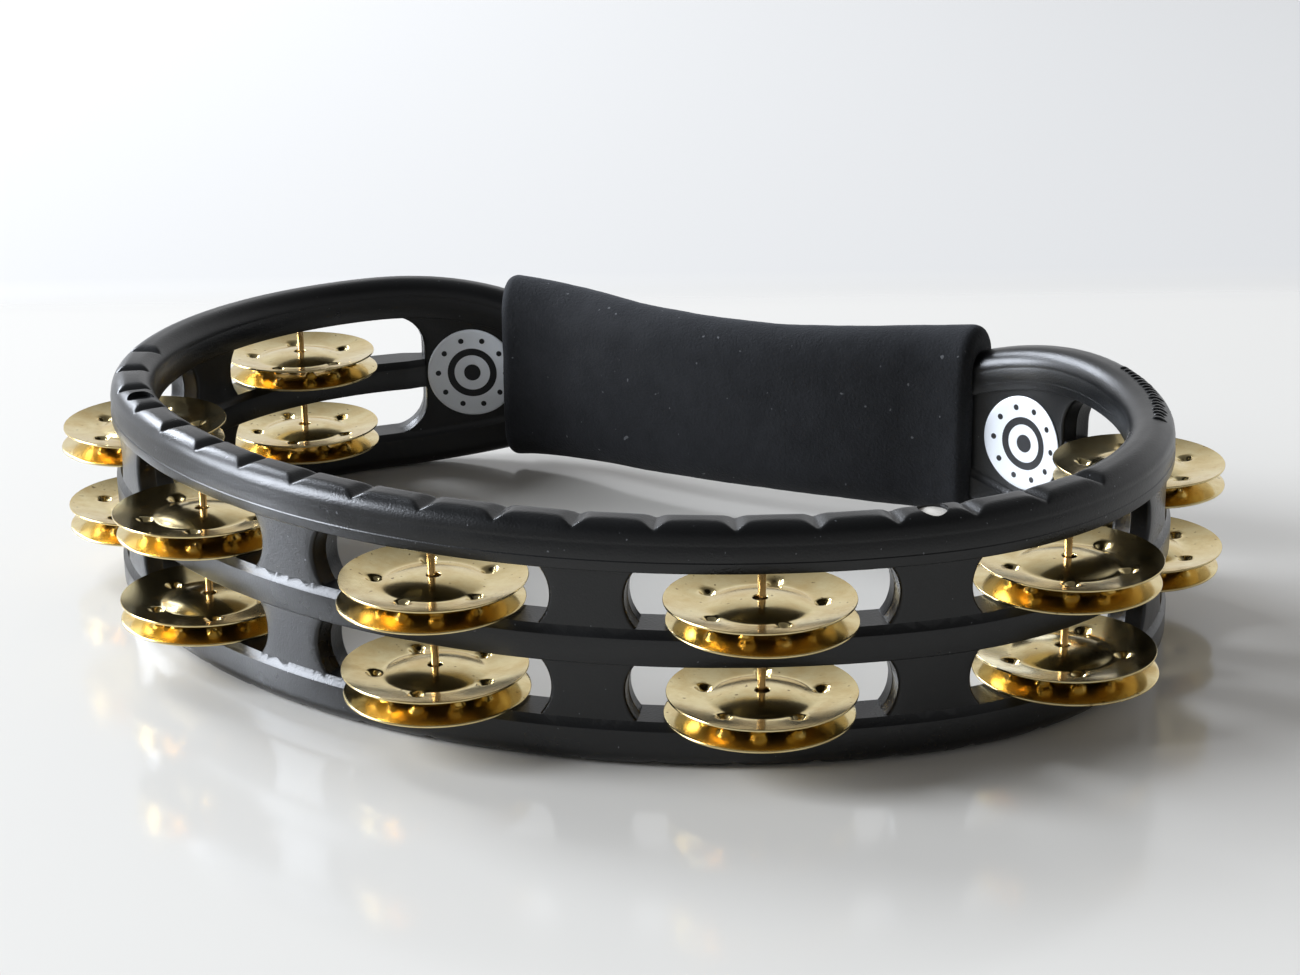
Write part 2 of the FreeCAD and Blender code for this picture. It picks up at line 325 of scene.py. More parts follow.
def add_node(tree, kind, settings=None, values=None, links=None):
    """Adds a node with its settings, its sockets' values and its links from other nodes' sockets."""
    node = tree.nodes.new(kind)
    for name, value in (settings or {}).items():
        setattr(node, name, value)
    for key, value in (values or {}).items():
        node.inputs[key].default_value = value
    for key, socket in (links or {}).items():
        tree.links.new(socket, node.inputs[key])
    return node


def new_material(name, values):
    """A material with its principled shader, and the object coordinates that its patterns read."""
    material = bpy.data.materials.new(name)
    material.use_nodes = True
    tree = material.node_tree
    tree.nodes.clear()
    shader = add_node(tree, "ShaderNodeBsdfPrincipled", values=values)
    add_node(tree, "ShaderNodeOutputMaterial", links={"Surface": shader.outputs[0]})
    where = add_node(tree, "ShaderNodeTexCoord").outputs["Object"]
    return material, tree, shader, where


def grain(tree, where, size_mm, detail=2.0, roughness=0.5):
    """Noise whose grains are about size_mm wide."""
    values = {"Scale": 1 / (size_mm * MM), "Detail": detail, "Roughness": roughness}
    return add_node(tree, "ShaderNodeTexNoise", values=values, links={"Vector": where}).outputs["Fac"]


def between(tree, factor, low, high, start=0.0, end=1.0):
    """A number that goes from low to high as a factor goes from start to end."""
    values = {"From Min": start, "From Max": end, "To Min": low, "To Max": high}
    return add_node(tree, "ShaderNodeMapRange", values=values, links={"Value": factor}).outputs["Result"]


def mixed(tree, factor, first, second):
    """A colour between two hex colours, or between a socket and a hex colour."""
    node = add_node(tree, "ShaderNodeMix", {"data_type": "RGBA"}, links={0: factor})
    for key, colour in ((6, first), (7, second)):
        if isinstance(colour, str):
            node.inputs[key].default_value = linear(colour)
        elif isinstance(colour, bpy.types.NodeSocket):
            tree.links.new(colour, node.inputs[key])
        else:
            node.inputs[key].default_value = [*colour, 1.0]
    return node.outputs[2]


def painted(tree, shader, colour, roughness, heights=()):
    """Sets a shader's colour and roughness, and chains bumps of (height, depth in mm) into its normal."""
    tree.links.new(colour, shader.inputs["Base Color"])
    tree.links.new(roughness, shader.inputs["Roughness"])
    normal = None
    for height, depth_mm in heights:
        links = {"Height": height}
        if normal:
            links["Normal"] = normal
        node = add_node(tree, "ShaderNodeBump", values={"Distance": depth_mm * MM}, links=links)
        normal = node.outputs["Normal"]
    if normal:
        tree.links.new(normal, shader.inputs["Normal"])


def moulded_abs(settings):
    """Injection-moulded black ABS, spark-eroded satin: soft sheen, fine grain, a little dust, rubbing."""
    values = {"IOR": 1.53, "Specular IOR Level": 0.45}
    material, tree, shader, where = new_material("Moulded black ABS", values)
    # The mould's grain is about 0.2 mm; it is drawn at 0.5 mm so that it shows.
    fine = grain(tree, where, 0.5)
    rubbed = grain(tree, where, 22.0, 4.0, 0.6)
    dust = grain(tree, where, 1.1, 1.0)
    specks = between(tree, dust, 0.0, 0.4, 0.775, 0.80)
    colour = mixed(tree, specks, settings.colour, "#8C8E92")
    rough = between(tree, rubbed, settings.roughness - 0.05, settings.roughness + 0.07, 0.3, 0.7)
    painted(tree, shader, colour, rough, [(grain(tree, where, 14.0), 0.03), (fine, 0.05)])
    return material


def polished_brass(settings):
    """Pressed and polished sheet brass: pale gold mirror with faint handling haze and small tarnish spots."""
    material, tree, shader, where = new_material("Polished sheet brass", {"Metallic": 1.0})
    haze = grain(tree, where, 6.0, 4.0, 0.6)
    spots = between(tree, grain(tree, where, 1.3, 1.0), 0.0, 0.75, 0.72, 0.77)
    warm = mixed(tree, between(tree, haze, 0.0, 1.0, 0.35, 0.7), settings.colour, "#D6BC80")
    colour = mixed(tree, spots, warm, "#6B5325")
    rough = between(tree, haze, settings.roughness, settings.roughness + 0.08, 0.35, 0.75)
    # Polishing leaves waves of a few millimetres, and a far finer grain.
    painted(tree, shader, colour, rough, [(grain(tree, where, 5.0), 0.02), (grain(tree, where, 0.6), 0.002)])
    return material


def drawn_wire():
    """Drawn brass-plated wire: a darker, coppery gold with fine marks along its length."""
    material, tree, shader, where = new_material("Drawn brass wire", {"Metallic": 1.0})
    stretched = add_node(tree, "ShaderNodeMapping", values={"Scale": (1, 1, 0.06)}, links={"Vector": where})
    marks = grain(tree, stretched.outputs[0], 0.35)
    colour = mixed(tree, marks, "#CFA877", "#EBD3A6")
    painted(tree, shader, colour, between(tree, marks, 0.14, 0.3), [(marks, 0.01)])
    return material


def closed_cell_foam(settings):
    """Closed-cell rubber foam with a skived surface: matte charcoal, felt-like grain, pale specks."""
    values = {"Specular IOR Level": 0.25, "Sheen Weight": 0.16, "Sheen Roughness": 0.5}
    values["Sheen Tint"] = linear("#A9ACB2")
    material, tree, shader, where = new_material("Closed-cell foam", values)
    # Cells are about 0.3 mm; they are drawn at 0.7 mm so that they show.
    cells = grain(tree, where, 0.7, 3.0, 0.65)
    mottle = grain(tree, where, 7.0, 4.0, 0.6)
    tone = mixed(tree, between(tree, mottle, 0.0, 1.0, 0.32, 0.7), settings.colour, "#1D1E20")
    tone = mixed(tree, between(tree, cells, 0.0, 0.5, 0.4, 0.75), tone, "#26272B")
    specks = between(tree, grain(tree, where, 1.4, 0.0), 0.0, 0.5, 0.83, 0.86)
    colour = mixed(tree, specks, tone, "#77787A")
    painted(tree, shader, colour, between(tree, cells, 0.78, 0.95), [(mottle, 0.25), (cells, 0.22)])
    return material


def foil_vinyl(settings):
    """Silver foil under clear vinyl: pearly blue-grey that flares where it faces the window."""
    values = {"Metallic": 0.12, "Coat Weight": 0.4, "Coat Roughness": 0.2, "Sheen Weight": 0.8}
    material, tree, shader, where = new_material("Silver foil vinyl", values)
    flakes = grain(tree, where, 0.6)
    colour = mixed(tree, flakes, settings.colour, "#EEF3F8")
    painted(tree, shader, colour, between(tree, flakes, 0.32, 0.46), [(grain(tree, where, 4.0), 0.03)])
    return material


def screen_ink():
    """Gloss black screen ink, slightly raised and uneven."""
    material, tree, shader, where = new_material("Black screen ink", {"Specular IOR Level": 0.45})
    uneven = grain(tree, where, 0.8)
    colour = mixed(tree, uneven, "#121316", "#1D1E22")
    painted(tree, shader, colour, between(tree, uneven, 0.25, 0.4), [(uneven, 0.01)])
    return material


def gate_stub():
    """Cut moulding gate: pale stress-whitened plastic, smooth from the blade."""
    material, tree, shader, where = new_material("Cut gate plastic", {"IOR": 1.53})
    cut = grain(tree, where, 1.5, 3.0)
    colour = mixed(tree, cut, "#C9C4BB", "#E9E3D8")
    painted(tree, shader, colour, between(tree, cut, 0.2, 0.4), [(cut, 0.03)])
    return material


# ---------------------------------------------------------------- geometry node trees


def node_tree(name, inputs):
    """A geometry node tree with a geometry input and output and named inputs."""
    tree = bpy.data.node_groups.new(name, "GeometryNodeTree")
    sockets = tree.interface
    sockets.new_socket("Geometry", in_out="INPUT", socket_type="NodeSocketGeometry")
    for label, kind in inputs:
        sockets.new_socket(label, in_out="INPUT", socket_type=f"NodeSocket{kind}")
    sockets.new_socket("Geometry", in_out="OUTPUT", socket_type="NodeSocketGeometry")
    return tree, add_node(tree, "NodeGroupInput").outputs


def end_tree(tree, geometry, finish):
    """Ends a tree: instances made real, and their material set."""
    real = add_node(tree, "GeometryNodeRealizeInstances", links={"Geometry": geometry})
    links = {"Geometry": real.outputs[0], "Material": finish}
    painted = add_node(tree, "GeometryNodeSetMaterial", links=links)
    add_node(tree, "NodeGroupOutput", links={"Geometry": painted.outputs[0]})
    return tree


def grown(name, mesh, tree, values):
    """An object whose mesh a node tree makes, with the tree's inputs set by name, as a plain mesh."""
    obj = placed(name, mesh)
    modifier = obj.modifiers.new("Nodes", "NODES")
    modifier.node_group = tree
    for item in tree.interface.items_tree:
        if item.in_out == "INPUT" and item.name in values:
            modifier[item.identifier] = values[item.name]
    made_plain(obj)
    if not obj.data.polygons:
        raise RuntimeError(f"{name}: its node tree made no faces")
    return obj


def jingle_tree():
    """Places one sheet on its pin: turned, laid face up or face down, tilted by its play and moved."""
    tree, given = node_tree("Jingle on its pin", [
        ("Sheet", "Object"), ("Turn", "Rotation"), ("Face", "Rotation"),
        ("Tilt", "Rotation"), ("Place", "Vector"), ("Finish", "Material"),
    ])
    shape = add_node(tree, "GeometryNodeObjectInfo", links={"Object": given["Sheet"]}).outputs["Geometry"]
    for step in ("Face", "Turn", "Tilt"):
        links = {"Geometry": shape, "Rotation": given[step]}
        shape = add_node(tree, "GeometryNodeTransform", links=links).outputs[0]
    links = {"Geometry": shape, "Translation": given["Place"]}
    shape = add_node(tree, "GeometryNodeTransform", links=links).outputs[0]
    return end_tree(tree, shape, given["Finish"])


def pin_tree():
    """Upright pins with chamfered ends on every point."""
    tree, given = node_tree("Row of pins", [
        ("Radius", "Float"), ("Length", "Float"), ("Chamfer", "Float"), ("Finish", "Material"),
    ])
    line = add_node(tree, "GeometryNodeCurvePrimitiveLine", {"mode": "DIRECTION"},
                    {"Direction": (0, 0, 1)}, {"Length": given["Length"]})
    line = add_node(tree, "GeometryNodeResampleCurve", values={"Count": 60}, links={"Curve": line.outputs[0]})
    along = add_node(tree, "GeometryNodeSplineParameter").outputs["Length"]
    back = add_node(tree, "ShaderNodeMath", {"operation": "SUBTRACT"}, links={0: given["Length"], 1: along})
    near = add_node(tree, "ShaderNodeMath", {"operation": "MINIMUM"}, links={0: along, 1: back.outputs[0]})
    share = add_node(tree, "ShaderNodeMath", {"operation": "DIVIDE", "use_clamp": True},
                     links={0: near.outputs[0], 1: given["Chamfer"]})
    width = add_node(tree, "ShaderNodeMapRange", values={"To Min": 0.6, "To Max": 1.0},
                     links={"Value": share.outputs[0]})
    round_ = add_node(tree, "GeometryNodeCurvePrimitiveCircle", values={"Resolution": 24},
                      links={"Radius": given["Radius"]})
    pin = add_node(tree, "GeometryNodeCurveToMesh", values={"Fill Caps": True}, links={
        "Curve": line.outputs[0], "Profile Curve": round_.outputs[0], "Scale": width.outputs[0]})
    pins = add_node(tree, "GeometryNodeInstanceOnPoints",
                    links={"Points": given["Geometry"], "Instance": pin.outputs[0]})
    return end_tree(tree, pins.outputs[0], given["Finish"])


def rib_tree():
    """Ribs in a row along a line, each turned across it and of its own length."""
    tree, given = node_tree("Row of crest ribs", [
        ("Rib", "Object"), ("Count", "Int"), ("Shortest", "Float"), ("Seed", "Int"), ("Finish", "Material"),
    ])
    line = add_node(tree, "GeometryNodeMeshToCurve", links={"Mesh": given["Geometry"]})
    spots = add_node(tree, "GeometryNodeCurveToPoints", {"mode": "COUNT"},
                     links={"Curve": line.outputs[0], "Count": given["Count"]})
    across = add_node(tree, "FunctionNodeAlignRotationToVector", {"axis": "Y", "pivot_axis": "Z"},
                      links={"Vector": spots.outputs["Tangent"]})
    low = add_node(tree, "ShaderNodeCombineXYZ", values={"Y": 0.8, "Z": 1.0}, links={"X": given["Shortest"]})
    size = add_node(tree, "FunctionNodeRandomValue", {"data_type": "FLOAT_VECTOR"}, {1: (1.0, 1.15, 1.0)},
                    {0: low.outputs[0], "Seed": given["Seed"]})
    shape = add_node(tree, "GeometryNodeObjectInfo", values={"As Instance": True},
                     links={"Object": given["Rib"]})
    ribs = add_node(tree, "GeometryNodeInstanceOnPoints", links={
        "Points": spots.outputs["Points"], "Instance": shape.outputs["Geometry"],
        "Rotation": across.outputs[0], "Scale": size.outputs[0]})
    return end_tree(tree, ribs.outputs[0], given["Finish"])


def emblem_tree():
    """Flat print: a bold ring, a middle dot and small dots round it, like a tambourine seen from above."""
    tree, given = node_tree("Ring and dots print", [
        ("Ring Radius", "Float"), ("Ring Width", "Float"), ("Dots", "Int"), ("Dot Circle", "Float"),
        ("Dot Radius", "Float"), ("Middle Radius", "Float"), ("Ink Height", "Float"), ("Finish", "Material"),
    ])
    path = add_node(tree, "GeometryNodeCurvePrimitiveCircle", values={"Resolution": 72},
                    links={"Radius": given["Ring Radius"]})
    band = add_node(tree, "GeometryNodeCurvePrimitiveQuadrilateral",
                    links={"Width": given["Ring Width"], "Height": given["Ink Height"]})
    ring = add_node(tree, "GeometryNodeCurveToMesh",
                    links={"Curve": path.outputs[0], "Profile Curve": band.outputs[0]})
    spots = add_node(tree, "GeometryNodeMeshCircle",
                     links={"Vertices": given["Dots"], "Radius": given["Dot Circle"]})
    dot = add_node(tree, "GeometryNodeMeshCylinder", values={"Vertices": 20},
                   links={"Radius": given["Dot Radius"], "Depth": given["Ink Height"]})
    dots = add_node(tree, "GeometryNodeInstanceOnPoints",
                    links={"Points": spots.outputs[0], "Instance": dot.outputs[0]})
    middle = add_node(tree, "GeometryNodeMeshCylinder", values={"Vertices": 40, "Fill Segments": 4},
                      links={"Radius": given["Middle Radius"], "Depth": given["Ink Height"]})
    joined = add_node(tree, "GeometryNodeJoinGeometry")
    for part in (ring, dots, middle):
        tree.links.new(part.outputs[0], joined.inputs[0])
    return end_tree(tree, joined.outputs[0], given["Finish"])


# ---------------------------------------------------------------- the moulded ring


def bead_drop(s):
    """How far each bead has moved towards the middle height."""
    share = np.clip((np.abs(s) - TAPER_START) / TAPER_LENGTH, 0, None)
    return np.minimum(TAPER_DROP * share**TAPER_POWER, CORE_DROP)


def bead_stations():
    """Lengths along the whole ring, close together at the notches."""
    notches = [n * NOTCH_PITCH for n in range(-NOTCHES_PER_SIDE, NOTCHES_PER_SIDE + 1)]
    plain = np.arange(-HALF, HALF - 1, 3.0)
    coarse = [s for s in plain if min(abs(s - n) for n in notches) > NOTCH_REACH + 0.8]
    fine = [n + ds for n in notches for ds in np.linspace(-NOTCH_REACH, NOTCH_REACH, 27)]
    return np.array(sorted(coarse + fine))


def notch_depth(s, depth, softness):
    """How deep the finger notches go below the crest: V grooves with soft shoulders and floors."""
    nearest = np.clip(np.round(s / NOTCH_PITCH), -NOTCHES_PER_SIDE, NOTCHES_PER_SIDE) * NOTCH_PITCH
    away = np.hypot(s - nearest, 0.3 * softness)
    ramp = depth * (1 - away / NOTCH_HALF_WIDTH)
    return (ramp + np.hypot(ramp, softness)) / 2


def bead_shell(outer, inner, settings, top):
    """A closed bead round the whole ring. Each half section gives u and the distance in from the crest."""
    loop = outer + [(-u, z) for u, z in reversed(inner)]
    u, inwards = np.array(loop).T
    s = bead_stations()[:, None]
    notch = notch_depth(s, settings.notch_depth / MM, settings.notch_softness / MM)
    blend = 0.3 * notch / (notch + 0.3)
    inwards = (inwards + notch + np.hypot(inwards - notch, blend)) / 2 + bead_drop(s)
    z = FRAME_HEIGHT - inwards if top else inwards
    return skin(on_ring(s, u, z), closed=True)


def top_bead_half(edge, proud, step):
    """Half of the top bead, from its underside up: proud strip, flat face, fine step, rounded crest."""
    side = BEAD_HALF + proud
    half = arc_points(side - edge, BEAD_HEIGHT - edge, edge, edge, 90, 0, 3)
    half.append((side, BEAD_HEIGHT - STRIP_HEIGHT))
    half.append((BEAD_HALF, BEAD_HEIGHT - STRIP_HEIGHT - 1.5 * proud))
    half.append((BEAD_HALF, TOP_ROUND + 2 * step))
    flat = BEAD_HALF - TOP_ROUND
    return half + arc_points(flat, TOP_ROUND, TOP_ROUND - step, TOP_ROUND, 0, -90, 14)


def bottom_bead_half(edge):
    """Outer half of the bottom bead, from its ledge down: sloping ledge, flat face, rounded foot."""
    half = [(WALL_HALF, BEAD_HEIGHT)]
    half += arc_points(BEAD_HALF - edge, BEAD_HEIGHT - LEDGE_DROP - edge, edge, edge, 60, 0, 3)
    return half + arc_points(BEAD_HALF - BOTTOM_ROUND, BOTTOM_ROUND, BOTTOM_ROUND, BOTTOM_ROUND, 0, -90, 12)


def rail_shell(edge):
    """Middle rail between the end windows. Its ends draw in to the wall's width."""
    foot, head = RAIL_FOOT, RAIL_FOOT + RAIL_HEIGHT
    half = arc_points(BEAD_HALF - edge, foot + edge, edge, edge, -90, 0, 3)
    half += arc_points(BEAD_HALF - edge, head - LEDGE_DROP - edge, edge, edge, 0, 60, 3)
    half.append((WALL_HALF, head))
    u, z = np.array(half + [(-u, z) for u, z in reversed(half)]).T
    end, fade = WINDOW_END + 2.0, WINDOW_END - 6.0
    middle = np.arange(-238.0, 238.1, 3.5)
    s = np.concatenate([np.linspace(-end, -fade, 9), middle, np.linspace(fade, end, 9)])[:, None]
    share = np.clip((np.abs(s) - fade) / (WINDOW_END - fade), 0, 1)
    narrow = 1 - 0.22 * share**2 * (3 - 2 * share)
    return skin(on_ring(s, u * narrow, z))


def wall_outline(start, end, edge, ridge, steps):
    """Plan outline of a wall from one length to another: rounded edges and a parting ridge on each end."""
    inset = np.linspace(start + edge, end - edge, steps)[1:-1]
    outline = [(s, -WALL_HALF) for s in inset]
    outline += arc_points(end - edge, -WALL_HALF + edge, edge, edge, -90, 0, 5)
    outline += [(end, -2 * ridge), (end + ridge, 0.0), (end, 2 * ridge)]
    outline += arc_points(end - edge, WALL_HALF - edge, edge, edge, 0, 90, 5)
    outline += [(s, WALL_HALF) for s in inset[::-1]]
    outline += arc_points(start + edge, WALL_HALF - edge, edge, edge, 90, 180, 5)
    outline += [(start, 2 * ridge), (start - ridge, 0.0), (start, -2 * ridge)]
    outline += arc_points(start + edge, -WALL_HALF + edge, edge, edge, 180, 270, 5)
    return np.array(outline)


def wall_shell(levels, edge, ridge, steps):
    """A wall built up of plan outlines: levels of height, start and end."""
    rows = []
    for z, start, end in levels:
        s, u = wall_outline(start, end, edge, ridge, steps).T
        rows.append(on_ring(s, u, z))
    return skin(np.array(rows))


def post_shells(edge, ridge):
    """Posts between the slots. The slots' round ends hollow them."""
    shells = []
    chord = SLOT_HEIGHT / 2
    radius = (chord**2 + SLOT_END_BULGE**2) / (2 * SLOT_END_BULGE)
    for place in (-2.5, -1.5, -0.5, 0.5, 1.5, 2.5):
        middle = place * POSITION_PITCH
        for floor in SLOT_FLOORS:
            levels = []
            for rise in np.linspace(-chord - EMBED, chord + EMBED, 22):
                hollow = math.sqrt(radius**2 - rise**2) - (radius - SLOT_END_BULGE)
                half = POST_WIDTH / 2 - hollow
                levels.append((floor + chord + rise, middle - half, middle + half))
            shells.append(wall_shell(levels, edge, ridge, 8))
    return shells


def panel_shell(edge, ridge):
    """Wall through the grip from one end window to the other. The windows' outer corners are round."""
    low, high, r = SLOT_FLOORS[0], SLOT_FLOORS[1] + SLOT_HEIGHT, WINDOW_CORNER
    corner = [r * (1 - math.cos(a)) for a in np.linspace(0, math.pi / 2, 12)]
    heights = [low - EMBED] + [low + c for c in corner]
    heights += [high - c for c in reversed(corner)] + [high + EMBED]
    levels = []
    for z in heights:
        deep = max(0.0, low + r - z, z - high + r)
        start = WINDOW_END - r + math.sqrt(max(0.0, r**2 - deep**2))
        levels.append((z, start, 2 * HALF - start))
    return wall_shell(levels, edge, ridge, 64)


def upright(s, radius, foot, head, segments):
    """Closed upright cylinder on the centre line."""
    centre = on_ring(s, 0.0, 0.0)
    turns = np.linspace(0, 2 * math.pi, segments, endpoint=False)
    loop = centre + np.stack([np.cos(turns), np.sin(turns), 0 * turns], -1) * radius * MM
    return skin(np.array([loop + [0, 0, z * MM] for z in (foot, head)]))


def ring_mesh(settings):
    """The one-piece moulding: two beads, a rail, posts and the wall through the grip, joined and cut."""
    edge, reveal, ridge = 0.3, settings.slot_round / MM, settings.parting_ridge / MM
    outer, inner = top_bead_half(edge, STRIP_PROUD, CREST_STEP), top_bead_half(edge, 0.01, 0.01)
    lower = bottom_bead_half(edge)
    beads = [bead_shell(outer, inner, settings, True), bead_shell(lower, lower, settings, False)]
    ring = placed("ring_moulding", mesh_of("ring_moulding", beads))
    for shells in ([rail_shell(edge)], [panel_shell(reveal, ridge)], post_shells(reveal, ridge)):
        boolean(ring, placed("tool", mesh_of("tool", shells)), "UNION")
    foot, head = FRAME_HEIGHT - RECESS_DEPTH, FRAME_HEIGHT + 1
    cuts = [upright(s, RECESS_RADIUS, foot, head, 48) for s in (-RECESS_PLACE, RECESS_PLACE)]
    cuts += [upright(n * POSITION_PITCH, PIN_BORE, -1, 3, 24) for n in range(-3, 4)]
    boolean(ring, placed("tool", mesh_of("tool", cuts)), "DIFFERENCE")
    shade_smooth(ring.data, 32)
    return ring


# ---------------------------------------------------------------- jingles


def sheet_height(r):
    """Height of the sheet's face at a radius: dished flange, soft crease, low dome."""
    share = (JINGLE_RADIUS - r) / (JINGLE_RADIUS - CREASE_OUT)
    flange = -DISH * ((1 + FLANGE_BEND) * share - FLANGE_BEND * share**2)
    dome = DOME_TOP - DOME_BEND * (r - JINGLE_HOLE) ** 2
    width = CREASE_OUT - CREASE_IN
    t = np.clip((r - CREASE_IN) / width, 0, 1)
    z_in = DOME_TOP - DOME_BEND * (CREASE_IN - JINGLE_HOLE) ** 2
    slope_in = -2 * DOME_BEND * (CREASE_IN - JINGLE_HOLE) * width
    slope_out = DISH * (1 - FLANGE_BEND) / (JINGLE_RADIUS - CREASE_OUT) * width
    crease = (2 * t**3 - 3 * t**2 + 1) * z_in + (t**3 - 2 * t**2 + t) * slope_in
    crease += (3 * t**2 - 2 * t**3) * -DISH + (t**3 - t**2) * slope_out
    return np.where(r > CREASE_OUT, flange, np.where(r < CREASE_IN, dome, crease))


def boss_sink(rho):
    """How far a pierced boss draws the sheet down at a distance from its middle."""
    t = np.clip((rho - BOSS_BORE) / (BOSS_REACH - BOSS_BORE), 0, 1)
    return BOSS_SINK * (1 - t * t * (3 - 2 * t))


def jingle_plan(bosses):
    """Plan points and triangles of the sheet: rings about the middle, and finer rings about every boss."""
    points, edges = [], []

    def add_ring(centre, radius, count, bound, phase):
        turns = np.arange(count) * 2 * math.pi / count + phase
        ring = centre + radius * np.stack([np.cos(turns), np.sin(turns)], -1)
        if not bound:
            ring = [p for p in ring if min(np.linalg.norm(bosses - p, axis=1)) > BOSS_REACH + 0.25]
        first = len(points)
        points.extend(Vector(p) for p in ring)
        if bound:
            edges.extend((first + i, first + (i + 1) % count) for i in range(count))

    for i, radius in enumerate(SHEET_RINGS):
        bound = i in (0, len(SHEET_RINGS) - 1)
        add_ring(np.zeros(2), radius, 48 if radius < 4 else 108, bound, 0.029 * (i % 2))
    for boss in bosses:
        for i, rho in enumerate(BOSS_RINGS):
            add_ring(boss, rho, 20, True, 0.157 * (i % 2))
    flat, _, faces, _, _, _ = delaunay_2d_cdt(points, edges, [], 0, 1e-6)
    flat = np.array([tuple(p) for p in flat])
    kept = []
    for face in faces:
        middle = flat[list(face)].mean(0)
        clear = min(np.linalg.norm(bosses - middle, axis=1)) > BOSS_BORE * 0.98
        if clear and np.linalg.norm(middle) > JINGLE_HOLE * 0.99:
            kept.append(tuple(face))
    return flat, kept


def jingle_mesh(settings):
    """Pierced and dished sheet, face up, its rim at z = 0. Its cut edges are slightly rounded."""
    sheet = settings.sheet / MM
    turns = np.arange(settings.bosses) * 2 * math.pi / settings.bosses
    bosses = BOSS_CIRCLE * np.stack([np.cos(turns), np.sin(turns)], -1)
    flat, faces = jingle_plan(bosses)
    away = np.linalg.norm(flat[:, None] - bosses, axis=2).min(1)
    z = sheet_height(np.linalg.norm(flat, axis=1)) - boss_sink(away)
    count = len(flat)
    points = [(x, y, h) for (x, y), h in zip(flat, z)] + [(x, y, h - sheet) for (x, y), h in zip(flat, z)]
    sides = {}
    for face in faces:
        for a, b in zip(face, face[1:] + face[:1]):
            if (b, a) in sides:
                del sides[(b, a)]
            else:
                sides[(a, b)] = True
    walls = {}
    for a, _ in sides:
        x, y = flat[a]
        near = bosses[np.argmin(np.linalg.norm(bosses - flat[a], axis=1))]
        if away[a] < BOSS_BORE * 1.01:
            out = near - flat[a]
        elif math.hypot(x, y) < JINGLE_HOLE * 1.01:
            out = -flat[a]
        else:
            out = flat[a]
        out = out / np.linalg.norm(out) * sheet
        chain = [a]
        for shift, sunk in CUT_EDGE:
            chain.append(len(points))
            points.append((x + out[0] * shift, y + out[1] * shift, z[a] - sheet * sunk))
        walls[a] = chain + [a + count]
    solid = list(faces) + [tuple(i + count for i in reversed(face)) for face in faces]
    for a, b in sides:
        for k in range(4):
            solid.append((walls[b][k], walls[a][k], walls[a][k + 1], walls[b][k + 1]))
    mesh = mesh_of("jingle_sheet", [(np.array(points) * MM, solid)])
    shade_smooth(mesh, 50)
    return mesh


# ---------------------------------------------------------------- grip and badges


def sleeve_mesh(settings):
    """Foam tube round the grip's core: an upright oval, waisted at the middle, with soft round ends."""
    r = settings.end_round / MM
    ends = [r * (1 - math.cos(a)) for a in np.linspace(0, math.pi / 2, 9)]
    middle = HALF - SLEEVE_START - SLEEVE_SHIFT
    length = 2 * (HALF - SLEEVE_START)
    along = ends + list(np.linspace(r + 1.2, length - r - 1.2, 104)) + [length - d for d in reversed(ends)]
    rows = []
    for d in along:
        near = min(d, length - d)
        reach = middle if d < middle else length - middle
        inset = r - math.sqrt(max(0.0, r**2 - max(0.0, r - near) ** 2))
        share = abs(d - middle) / reach
        top = SLEEVE_TOP - WAIST_TOP * (1 - share**2) - inset
        foot = SLEEVE_FOOT + WAIST_FOOT * (1 - share**2) + inset
        half = SLEEVE_HALF - inset
        section = arc_points(0, top - half, half, half, 0, 180, 26)
        section += [(-half, z) for z in np.linspace(top - half, foot + half, 18)[1:-1]]
        section += arc_points(0, foot + half, half, half, 180, 360, 26)
        section += [(half, z) for z in np.linspace(foot + half, top - half, 18)[1:-1]]
        u, z = np.array(section).T
        crown = 0.25 * (1 - ((z - (top + foot) / 2) / (top - foot) * 2) ** 2)
        rows.append(on_ring(SLEEVE_START + SLEEVE_SHIFT + d, u - np.sign(u) * (0.25 - crown), z))
    mesh = mesh_of("grip_foam", [skin(np.array(rows))])
    built = bmesh.new()
    built.from_mesh(mesh)
    for vert in built.verts:
        swell = 0.22 * noise.noise(vert.co * 70) + 0.08 * noise.noise(vert.co * 320)
        vert.co += vert.normal * swell * MM
    built.to_mesh(mesh)
    built.free()
    shade_smooth(mesh, 60)
    return mesh


def wrapped(mesh, side, lift):
    """Bends flat points (along, height, outwards from the wall) onto the inner wall of one half."""
    flat = np.array([tuple(v.co) for v in mesh.vertices]) / MM
    s = side * (BADGE_PLACE + flat[:, 0] * CORNER_RADIUS / (CORNER_RADIUS - BADGE_BACK))
    points = on_ring(s, -BADGE_BACK - lift - flat[:, 2], FRAME_HEIGHT / 2 + flat[:, 1])
    mesh.vertices.foreach_set("co", points.astype(np.float32).ravel())
    built = bmesh.new()
    built.from_mesh(mesh)
    bmesh.ops.recalc_face_normals(built, faces=built.faces)
    built.to_mesh(mesh)
    built.free()


def badge_mesh():
    """Flat round badge with a softly rounded edge, in metres, lying on z = 0."""
    turns = np.linspace(0, 2 * math.pi, 96, endpoint=False)
    unit = np.stack([np.cos(turns), np.sin(turns)], -1)
    outline = [(0.5, 0.0), (BADGE_RADIUS - 0.1, 0.0), (BADGE_RADIUS, 0.12), (BADGE_RADIUS - 0.03, 0.24),
               (BADGE_RADIUS - 0.14, BADGE_THICK)]
    outline += [(BADGE_RADIUS * share, BADGE_THICK) for share in (0.92, 0.8, 0.65, 0.5, 0.35, 0.2, 0.04)]
    rows = [np.concatenate([unit * r, np.full((96, 1), z)], 1) * MM for r, z in outline]
    mesh = mesh_of("badge", [skin(np.array(rows))])
    return mesh


# ---------------------------------------------------------------- stage


